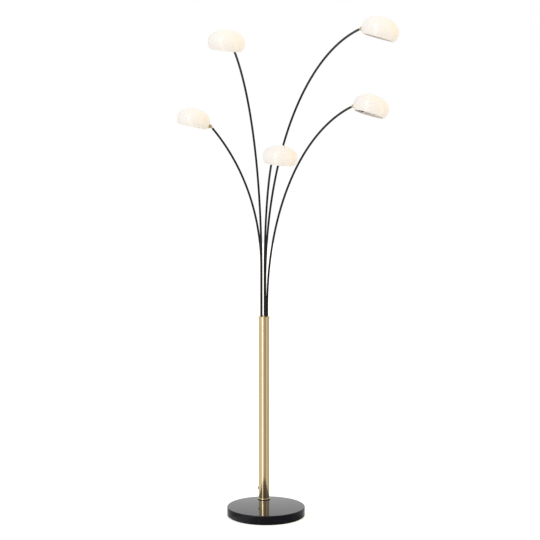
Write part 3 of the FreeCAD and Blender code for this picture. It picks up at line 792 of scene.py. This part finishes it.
bush_profile = rounded([
    (BUSH_BACK, BUSH_BORE_RADIUS, 0.3 * MM), (BUSH_BACK, BUSH_LIP_RADIUS, 0.4 * MM),
    (POLE_BORE_RADIUS, BUSH_LIP_RADIUS, 0), (POLE_BORE_RADIUS, INLET_RADIUS, 0),
    (POLE_RADIUS, INLET_RADIUS, 0), (POLE_RADIUS, BUSH_LIP_RADIUS, 0.3 * MM),
    (BUSH_EDGE, BUSH_LIP_RADIUS, 0.9 * MM), (BUSH_FRONT, BUSH_BORE_RADIUS, 0.6 * MM)])
bush_rows = turned_rows(bush_profile, inlet_centre, inlet_out, UP, 64)
bush = grid_piece("lead_bush", saddle(bush_rows, inlet_centre, inlet_out, POLE_RADIUS), rubber)
stands_for(bush, "cable_grommet", "stand")

# %% [markdown]
# ## The arms
# Each arm is one steel tube, bent round a former and stoved black. The wall's outside and
# inside are one closed surface: a circle goes up the outside, steps in at the mouth, and
# comes back down the bore. A collar near the foot keeps it in the head.

# %% The arms
TUBE_BOTTOM = 708.5 * MM
COLLAR_BOTTOM = 754.5 * MM
COLLAR_TOP = 758.0 * MM
COLLAR_RADIUS = 6.0 * MM


def arm_rows(branch):
    """Rows of one arm: up the outside, with the collar's four corners, and down the bore."""
    points, headings = branch_line(branch, TUBE_BOTTOM)
    levels = np.array([COLLAR_BOTTOM, COLLAR_BOTTOM, COLLAR_TOP, COLLAR_TOP])
    collar = branch.seat * [1, 1, 0] + UP * levels[:, None]
    under, over = points[:, 2] < COLLAR_BOTTOM, points[:, 2] >= COLLAR_TOP
    line = np.concatenate([points[under], collar, points[over], points[::-1]])
    line_headings = np.concatenate([headings[under], np.repeat(UP[None, :], 4, axis=0),
                                    headings[over], headings[::-1]])
    radii = np.concatenate([
        np.full(under.sum(), TUBE_RADIUS),
        [TUBE_RADIUS, COLLAR_RADIUS, COLLAR_RADIUS, TUBE_RADIUS],
        np.full(over.sum(), TUBE_RADIUS), np.full(len(points), TUBE_BORE_RADIUS)])
    return swept_rows(line, line_headings, branch, radii)


for place, branch in branches.items():
    arm = grid_piece("arm_" + place, arm_rows(branch), black_paint)
    stands_for(arm, "arm_tube_" + place, "arm_" + place)

# %% [markdown]
# ## The knuckles
# A brass cone closes over the ball at the arm's end. It is turned from bar, so it is one
# profile, and a milled slot lets the square neck swing. The cone's small end is narrower
# than the tube is wide, which is why only its flare shows in the picture.

# %% The knuckle's outline
CAVITY_RADIUS = 5.05 * MM
LEAD_HOLE_RADIUS = 2.7 * MM
NIPPLE_RADIUS = 4.0 * MM
NIPPLE_END = 5.1 * MM
CUP_MOUTH, CUP_MOUTH_RADIUS = 7.0 * MM, 9.2 * MM
CUP_WAIST, CUP_WAIST_RADIUS = -2.0 * MM, 6.4 * MM
CUP_NOSE, CUP_NOSE_RADIUS = -4.3 * MM, 3.9 * MM

cavity_angles = np.linspace(math.acos(CUP_NOSE / CAVITY_RADIUS),
                            math.asin(LEAD_HOLE_RADIUS / CAVITY_RADIUS), 20)
cavity = CAVITY_RADIUS * np.stack([np.cos(cavity_angles), np.sin(cavity_angles)], axis=1)
cup_outside = rounded([
    (CUP_MOUTH, NIPPLE_RADIUS, 0), (CUP_MOUTH, CUP_MOUTH_RADIUS, 0.7 * MM),
    (CUP_WAIST, CUP_WAIST_RADIUS, 0.8 * MM), (CUP_NOSE, CUP_NOSE_RADIUS, 0.6 * MM),
    (CUP_NOSE, LEAD_HOLE_RADIUS, 0)])
cup_profile = np.concatenate([cup_outside, cavity, [(NIPPLE_END, LEAD_HOLE_RADIUS),
                                                    (NIPPLE_END, NIPPLE_RADIUS)]])
print("points in the knuckle's outline:", len(cup_profile))

# %% The knuckles
SLOT_HALF = 2.7 * MM
SLOT_LOW = (-6.0 * MM, -SLOT_HALF, -15.0 * MM)
SLOT_HIGH = (0.2 * MM, SLOT_HALF, SLOT_HALF)


def box_tool(centre, axes, low, high, material):
    """A box between two corners given along three axes, to cut with."""
    corners = np.array([[x, y, z] for x in (low[0], high[0]) for y in (low[1], high[1])
                        for z in (low[2], high[2])])
    sides = np.array([(0, 1, 3, 2), (4, 6, 7, 5), (0, 4, 5, 1), (2, 3, 7, 6), (0, 2, 6, 4),
                      (1, 5, 7, 3)])
    return mesh_piece("tool", centre + corners @ np.array(axes), sides, material)


for place, branch in branches.items():
    cup_lift = np.cross(branch.fixing, branch.hinge)
    cup_rows = turned_rows(cup_profile, branch.ball, branch.fixing, branch.hinge, 72)
    cup = grid_piece("knuckle_" + place, cup_rows, turned_brass, 35.0)
    neck_slot = box_tool(branch.ball, (branch.fixing, branch.hinge, cup_lift),
                         SLOT_LOW, SLOT_HIGH, turned_brass)
    drill(cup, [neck_slot], 35.0)
    stands_for(cup, "knuckle_cup_" + place, "knuckle_" + place)

# %% [markdown]
# ## The shades
# Each shade is blown opal glass: a crown across the top, a shoulder, and a lower wall that
# turns in to the open mouth, three arcs that run into each other. Where the holder goes
# through, the glass is pressed flat inside and out. The surface is one function of two
# parameters, the place along the wall's outline and the angle round it. Near the hole,
# each point slides to a flat by a smooth weight that falls from 1 to 0 with distance.

# %% The dome's outline
SHADE_HALF = 63.0
MOUTH_HALF = 54.0
SHADE_HEIGHT = 70.0
WIDEST_LEVEL = 26.0
SHOULDER = 36.0
WALL = 3.0
RIM = 1.5
HOLE_LEVEL = 16.0
SHADE_AXIS = 69.0


def wall_outline(inset, steps=(44, 30, 26)):
    """The wall's outline as (radius, level) from the rim to the crown, in millimetres."""
    inward = SHADE_HALF - MOUTH_HALF
    rise = SHADE_HEIGHT - WIDEST_LEVEL
    low_r = (inward ** 2 + WIDEST_LEVEL ** 2) / (2 * inward)
    shoulder_x = SHADE_HALF - SHOULDER
    crown_r = (shoulder_x ** 2 + rise ** 2 - SHOULDER ** 2) / (2 * (rise - SHOULDER))
    crown_z = SHADE_HEIGHT - crown_r
    meet = math.atan2(WIDEST_LEVEL - crown_z, shoulder_x)
    start = -math.asin((WIDEST_LEVEL - RIM) / (low_r - inset))
    runs = [(SHADE_HALF - low_r, WIDEST_LEVEL, low_r - inset, start, 0.0),
            (shoulder_x, WIDEST_LEVEL, SHOULDER - inset, 0.0, meet),
            (0.0, crown_z, crown_r - inset, meet, math.pi / 2)]
    out = []
    for (cx, cz, r, a, b), n in zip(runs, steps):
        angle = np.linspace(a, b, n)[1 if out else 0:]
        out.append(np.stack([cx + r * np.cos(angle), cz + r * np.sin(angle)], axis=1))
    outline = np.concatenate(out)
    outline[-1, 0] = 0.0
    return outline


outer_wall = wall_outline(0.0)
inner_wall = wall_outline(WALL)
rim_angles = np.linspace(0, np.pi, 9)[1:-1]
rim_middle = (outer_wall[0] + inner_wall[0]) / 2
rim_half = (outer_wall[0, 0] - inner_wall[0, 0]) / 2
rim_arc = rim_middle + np.stack([-rim_half * np.cos(rim_angles),
                                 -RIM * np.sin(rim_angles)], axis=1)
outline = np.concatenate([inner_wall[::-1], rim_arc, outer_wall])
is_outer = np.arange(len(outline)) >= len(inner_wall) + len(rim_arc) // 2
print("outline points", len(outline))

# %% The shades
PAD_OUTER = 7.85
PAD_INNER = 15.35
PAD_EDGE = 9.8
PAD_FADE = 13.0
AROUND = 224
CROWD = 0.62
GLASS_HOLE_RADIUS = 4.3 * MM
GLASS_BIT = (2.0 * MM, 30.0 * MM)


def shade_rows(branch):
    """Rows of one shade in the lamp's frame.

    In the shade's own frame a point is (r cos u, r sin u, level). The columns crowd towards
    the hole at u = pi by u = v + k sin v. Then x slides to the pad's plane by the weight
    1 - smoothstep of its distance from the fixing's axis, between the pad's edge and a
    little beyond.
    """
    v = np.linspace(0.0, 2 * np.pi, AROUND, endpoint=False)
    u = v + CROWD * np.sin(v)
    r, level = outline[:, :1], outline[:, 1:]
    x = SHADE_AXIS + r * np.cos(u)
    y = r * np.sin(u)
    z = np.repeat(level, AROUND, axis=1) - HOLE_LEVEL
    distance = np.hypot(y, z)
    t = np.clip((distance - PAD_EDGE) / (PAD_FADE - PAD_EDGE), 0, 1)
    weight = (1 - t * t * (3 - 2 * t)) * (x < SHADE_AXIS)
    plane = np.where(is_outer[:, None], PAD_OUTER, PAD_INNER)
    x = x + (plane - x) * weight
    side = np.cross(branch.shade_up, branch.fixing)
    return (branch.ball + MM * (x[..., None] * branch.fixing + y[..., None] * side
                                + z[..., None] * branch.shade_up))


for place, branch in branches.items():
    shade = grid_piece("shade_" + place, shade_rows(branch), opal, 50.0)
    hole = drill_bit(GLASS_HOLE_RADIUS, branch.ball + branch.fixing * GLASS_BIT[0],
                     branch.ball + branch.fixing * GLASS_BIT[1], branch.fixing,
                     branch.shade_up, opal)
    drill(shade, [hole], 50.0)
    # Faces that look in towards the dome's heart get the paler inside white, painted light for
    # the light the glass lets through.
    heart = branch.ball + MM * (SHADE_AXIS * branch.fixing
                                + (WIDEST_LEVEL - HOLE_LEVEL) * branch.shade_up)
    outwards = np.einsum("ij,ij->i", of_faces(shade, "center") - heart,
                         of_faces(shade, "normal"))
    second_material(shade, inner_opal_painted_light, outwards < 0)
    stands_for(shade, "glass_shade_" + place, "shade_" + place)

# %% [markdown]
# ## Lampholders and bulbs
# The holder is brown phenolic with fine grip ribs, a cosine of the angle added to its
# radius. The bulb is a clear capsule on a white foot. Inside it is a tungsten coil, a
# circle carried along a helix.

# %% The holder's outline
HOLDER_START, HOLDER_STEP, HOLDER_END = 16.2 * MM, 27.2 * MM, 43.2 * MM
HOLDER_FLOOR = 34.2 * MM
HOLDER_RADIUS = 13.0 * MM
HOLDER_NECK_RADIUS = 9.0 * MM
HOLDER_WELL_RADIUS = 8.5 * MM
THREAD_END = 24.2 * MM
RIB_COUNT = 48
RIB_DEPTH = 0.25 * MM
RIB_MARGIN = 2.0 * MM

holder_profile = rounded([
    (HOLDER_FLOOR, 0, 0), (HOLDER_FLOOR, HOLDER_WELL_RADIUS, 0),
    (HOLDER_END, HOLDER_WELL_RADIUS, 0.3 * MM), (HOLDER_END, HOLDER_RADIUS, 1.2 * MM),
    (HOLDER_STEP, HOLDER_RADIUS, 1.2 * MM), (HOLDER_STEP, HOLDER_NECK_RADIUS, 0.5 * MM),
    (HOLDER_START, HOLDER_NECK_RADIUS, 0.5 * MM), (HOLDER_START, NIPPLE_RADIUS, 0),
    (THREAD_END, NIPPLE_RADIUS, 0), (THREAD_END, 0, 0)], 6)


def grip(u, along):
    """Ribs that only cut in, on the wide part between its rounded ends: a cosine of u."""
    on_body = (along > HOLDER_STEP + RIB_MARGIN) & (along < HOLDER_END - RIB_MARGIN)
    return -RIB_DEPTH * (0.5 + 0.5 * np.cos(RIB_COUNT * u)) * on_body


print("holder", round((HOLDER_END - HOLDER_START) / MM, 1), "mm long,", RIB_COUNT, "ribs")


# %% The coil
def coil_rows(centre, axis, side, radius, turns, length, wire, steps=260, around=8):
    """A wire carried along a helix: centre + axis t L + R (side cos w + across sin w).

    The wire's circle is drawn with the helix's own outward normal and the cross product of
    that with its direction. The two ends are closed by rows of radius 0.
    """
    across = np.cross(axis, side)
    t = np.linspace(-0.5, 0.5, steps)[:, None]
    w = 2 * np.pi * turns * t
    outward = side * np.cos(w) + across * np.sin(w)
    line = centre + axis * length * t + outward * radius
    along = np.gradient(line, axis=0)
    along /= np.linalg.norm(along, axis=1, keepdims=True)
    third = np.cross(along, outward)
    u = np.linspace(0, 2 * np.pi, around, endpoint=False)
    circle = (outward[:, None] * np.cos(u)[None, :, None]
              + third[:, None] * np.sin(u)[None, :, None])
    thick = np.full(steps, wire)
    thick[[0, -1]] = 0.0
    return line[:, None] + circle * thick[:, None, None]


print("rows and points of a coil:", coil_rows(POLE, UP, X_AXIS, 1, 1, 1, 0.1).shape[:2])

# %% Holders, bulbs and filaments
BULB_TIP = 77.2 * MM
BULB_RADIUS = 7.0 * MM
BULB_FOOT_RADIUS = 8.2 * MM
COIL = dict(radius=1.1 * MM, turns=14, length=12 * MM, wire=0.16 * MM)
COIL_MIDDLE = HOLDER_END + 18 * MM

bulb_profile = rounded([
    (HOLDER_END - 1 * MM, 0, 0), (HOLDER_END - 1 * MM, 5.2 * MM, 0.6 * MM),
    (HOLDER_END + 3 * MM, 6.6 * MM, 1.5 * MM), (HOLDER_END + 8 * MM, BULB_RADIUS, 2 * MM),
    (BULB_TIP - 5.0 * MM, BULB_RADIUS, 3.0 * MM), (BULB_TIP - 1.2 * MM, 3.2 * MM, 2.2 * MM),
    (BULB_TIP - 0.8 * MM, 1.2 * MM, 0.8 * MM), (BULB_TIP, 0, 0)], 8)
base_profile = rounded([
    (HOLDER_FLOOR, 0, 0), (HOLDER_FLOOR, BULB_FOOT_RADIUS, 0.3 * MM),
    (HOLDER_END, BULB_FOOT_RADIUS, 0.8 * MM), (HOLDER_END, 0, 0)], 6)


def extra_piece(name, rows, material, body):
    """A piece that stands for no CAD node and moves with a body."""
    piece = grid_piece(name, rows, material)
    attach(piece, body)


for place, branch in branches.items():
    knuckle = "knuckle_" + place
    turned = (branch.ball, branch.fixing, branch.hinge)
    holder = grid_piece("holder_" + place,
                        turned_rows(holder_profile[::-1], *turned, 192, grip), brown_plastic)
    stands_for(holder, "lampholder_" + place, knuckle)
    bulb = grid_piece("bulb_glass_" + place, turned_rows(bulb_profile, *turned, 64), clear_glass)
    stands_for(bulb, "bulb_" + place, knuckle)
    extra_piece("bulb_foot_" + place, turned_rows(base_profile, *turned, 64), white_plastic,
                knuckle)
    coil_centre = branch.ball + branch.fixing * COIL_MIDDLE
    extra_piece("filament_" + place,
                coil_rows(coil_centre, branch.fixing, branch.hinge, **COIL), tungsten,
                knuckle)

# %% [markdown]
# ## The floor and the studio
# The picture was taken on a white sweep. A large pale floor catches the shadow and looks
# white to the camera. A polished pole shows what stands round it, and in the picture that is
# a row of bright cards with dark gaps, so the floor and the world show those bands, but only
# in reflections. Real cards would do it too, and would have to be kept out of every view.

# %% The studio round the lamp
STUDIO_BANDS = [
    (-180, 1.00), (-150, 0.85), (-128, 0.70), (-60, 0.70), (-46, 0.80), (-38, 1.75),
    (-25, 1.75), (-14, 0.70), (0, 0.46), (22, 0.36), (46, 0.42), (58, 0.80), (74, 0.80),
    (87, 0.34), (106, 0.32), (122, 0.68), (150, 0.85), (180, 1.00)]


def studio_bands(tree, sideways, depth):
    """How bright the studio is in each direction: a ramp over atan2(sideways, -depth).

    The direction towards the camera is 0, its right is positive, and behind the lamp is
    180 either way. The ramp holds the bright cards and the dark gaps between them.
    """
    turn_angle = math_node(tree, "ARCTAN2", sideways, math_node(tree, "MULTIPLY", depth, -1.0))
    share = math_node(tree, "ADD", math_node(tree, "DIVIDE", turn_angle, 2 * math.pi), 0.5)
    ramp = tree.nodes.new("ShaderNodeValToRGB")
    stops = ramp.color_ramp.elements
    while len(stops) > 1:
        stops.remove(stops[-1])
    stops[0].position = 0.0
    for k, (degrees, bright) in enumerate(STUDIO_BANDS):
        stop = stops[0] if k == 0 else stops.new(degrees / 360 + 0.5)
        stop.color = (bright / 2, bright / 2, bright / 2, 1)
    tree.links.new(share, ramp.inputs["Fac"])
    return math_node(tree, "MULTIPLY", ramp.outputs["Color"], 2.0)


print("studio bands:", len(STUDIO_BANDS), "stops")

# %% The floor's paint
FLOOR_HALF = 14.0
FLOOR_GLOW = 0.45

floor_paint, floor_shader = finish("pale floor", grey(0.88), roughness=0.9,
                                   Specular_IOR_Level=0.0)
floor_nodes = floor_paint.node_tree
floor_ray = floor_nodes.nodes.new("ShaderNodeLightPath")
floor_place = floor_nodes.nodes.new("ShaderNodeSeparateXYZ")
floor_nodes.links.new(floor_nodes.nodes.new("ShaderNodeTexCoord").outputs["Object"],
                      floor_place.inputs[0])
beside_pole = math_node(floor_nodes, "SUBTRACT", floor_place.outputs["X"], float(POLE[0]))
behind_pole = math_node(floor_nodes, "SUBTRACT", floor_place.outputs["Y"], float(POLE[1]))
card = floor_nodes.nodes.new("ShaderNodeEmission")
floor_nodes.links.new(studio_bands(floor_nodes, beside_pole, behind_pole),
                      card.inputs["Strength"])
glow = floor_nodes.nodes.new("ShaderNodeEmission")
floor_seen = math_node(floor_nodes, "MAXIMUM", floor_ray.outputs["Is Camera Ray"],
                       floor_ray.outputs["Is Transmission Ray"])
floor_nodes.links.new(math_node(floor_nodes, "MULTIPLY", floor_seen, FLOOR_GLOW),
                      glow.inputs["Strength"])
print("floor glow", FLOOR_GLOW)

# %% The floor
both = floor_nodes.nodes.new("ShaderNodeAddShader")
floor_nodes.links.new(floor_shader.outputs[0], both.inputs[0])
floor_nodes.links.new(glow.outputs[0], both.inputs[1])
chosen = floor_nodes.nodes.new("ShaderNodeMixShader")
floor_nodes.links.new(floor_ray.outputs["Is Glossy Ray"], chosen.inputs["Fac"])
floor_nodes.links.new(both.outputs[0], chosen.inputs[1])
floor_nodes.links.new(card.outputs[0], chosen.inputs[2])
floor_nodes.links.new(chosen.outputs[0], floor_nodes.nodes["Material Output"].inputs["Surface"])
floor_paint.cycles.emission_sampling = "NONE"

floor_corners = FLOOR_HALF * np.array([[-1, -1, 0], [1, -1, 0], [1, 1, 0], [-1, 1, 0]])
floor = mesh_piece("floor", floor_corners, np.array([[0, 1, 2, 3]]), floor_paint)
print("floor", 2 * FLOOR_HALF, "m square")

# %% [markdown]
# ## The light
# All light on the lamp comes from the world, which is smoother than lamps on glass this
# pale. There is an even room, a broad soft light at the upper left, a warmer one at the
# right that gives the shades their peach side, and a little from above. The camera and
# glass see plain white, and gloss sees the bands with one tall bright card at the left.

# %% Colours that depend on direction
def faces(tree, heading, towards, power):
    """How far a direction points towards another: the positive cosine to a power."""
    node = tree.nodes.new("ShaderNodeVectorMath")
    node.operation = "DOT_PRODUCT"
    node.inputs[1].default_value = Vector(towards).normalized()
    tree.links.new(heading, node.inputs[0])
    return math_node(tree, "POWER", math_node(tree, "MAXIMUM", node.outputs["Value"], 0.0), power)


def vector_node(tree, operation, a, b):
    """A vector math node; each of a and b is a triple or a socket, b a number for SCALE."""
    node = tree.nodes.new("ShaderNodeVectorMath")
    node.operation = operation
    second = node.inputs["Scale"] if operation == "SCALE" else node.inputs[1]
    for socket, value in ((node.inputs[0], a), (second, b)):
        if isinstance(value, (tuple, float)):
            socket.default_value = value
        else:
            tree.links.new(value, socket)
    return node.outputs[0]


def smooth_step(tree, value, low, high):
    """0 below low, 1 above high, and a smooth rise between."""
    node = tree.nodes.new("ShaderNodeMapRange")
    node.interpolation_type = "SMOOTHSTEP"
    node.inputs["From Min"].default_value = low
    node.inputs["From Max"].default_value = high
    tree.links.new(value, node.inputs["Value"])
    return node.outputs["Result"]


def upright_card(tree, heading, level, degrees, half_width, levels, front=(0.2, 0.3),
                 edge=(0.02, 0.04)):
    """1 in an upright rectangle of directions, 0 outside it, with soft edges.

    A direction is in it when it points ahead, its cosine with the rectangle's own left or
    right is small enough, and its level lies between the two levels.
    """
    ahead = smooth_step(tree, faces(tree, heading, direction(degrees), 1.0), *front)
    aside = math_node(tree, "MAXIMUM",
                      faces(tree, heading, direction(degrees + 90), 1.0),
                      faces(tree, heading, direction(degrees - 90), 1.0))
    across = math_node(tree, "SUBTRACT", 1.0,
                       smooth_step(tree, aside, half_width, half_width + edge[0]))
    above = smooth_step(tree, level, levels[0], levels[0] + edge[1])
    below = math_node(tree, "SUBTRACT", 1.0,
                      smooth_step(tree, level, levels[1], levels[1] + edge[1]))
    return math_node(tree, "MULTIPLY", math_node(tree, "MULTIPLY", ahead, across),
                     math_node(tree, "MULTIPLY", above, below))


# %% The world
ROOM_LIGHT = (0.71, 0.71, 0.715)
SOFT_LIGHTS = [
    ((-0.52, -0.74, 0.42), 4.0, (0.80, 0.80, 0.80)),
    ((1.0, -0.15, 0.05), 2.0, (0.95, 0.56, 0.04)),
    ((0.0, 0.0, 1.0), 2.0, (0.14, 0.14, 0.14)),
]
KEY_HEADING = 237.0
KEY_HALF_WIDTH = 0.12
KEY_LEVELS = (0.03, 0.60)
KEY_CARD_STRENGTH = 7.0
HORIZON = (-0.2, -0.1)

world = bpy.data.worlds.new("studio")
world.use_nodes = True
bpy.context.scene.world = world
sky = world.node_tree
sky_ray = sky.nodes.new("ShaderNodeLightPath")
heading = sky.nodes.new("ShaderNodeTexCoord").outputs["Generated"]
heading_parts = sky.nodes.new("ShaderNodeSeparateXYZ")
sky.links.new(heading, heading_parts.inputs[0])
level = heading_parts.outputs["Z"]
print("world", world.name, "with", len(SOFT_LIGHTS), "soft lights")

# %% What is seen, what is mirrored and what gives light
sky_seen = math_node(sky, "MAXIMUM", sky_ray.outputs["Is Camera Ray"],
                     sky_ray.outputs["Is Transmission Ray"])
bands = studio_bands(sky, heading_parts.outputs["X"], heading_parts.outputs["Y"])
key_card = math_node(sky, "MULTIPLY", upright_card(sky, heading, level, KEY_HEADING,
                                                   KEY_HALF_WIDTH, KEY_LEVELS),
                     KEY_CARD_STRENGTH)
mirrored = math_node(sky, "MULTIPLY", sky_ray.outputs["Is Glossy Ray"],
                     math_node(sky, "MAXIMUM", bands, key_card))
shown = vector_node(sky, "SCALE", (1.0, 1.0, 1.0), math_node(sky, "ADD", sky_seen, mirrored))

light = ROOM_LIGHT
for towards, power, color in SOFT_LIGHTS:
    share = faces(sky, heading, towards, power)
    light = vector_node(sky, "ADD", vector_node(sky, "SCALE", color, share), light)
gives_light = math_node(sky, "SUBTRACT", 1.0,
                        math_node(sky, "MAXIMUM", sky_seen, sky_ray.outputs["Is Glossy Ray"]))
lit_share = math_node(sky, "MULTIPLY", gives_light, smooth_step(sky, level, *HORIZON))
light = vector_node(sky, "SCALE", light, lit_share)
sky.links.new(vector_node(sky, "ADD", shown, light),
              sky.nodes["Background"].inputs["Color"])
print("nodes in the world:", len(sky.nodes))

# %% [markdown]
# ## Settings
# The Standard view shows a colour about as it is written.

# %% Settings
bpy.context.scene.view_settings.view_transform = "Standard"
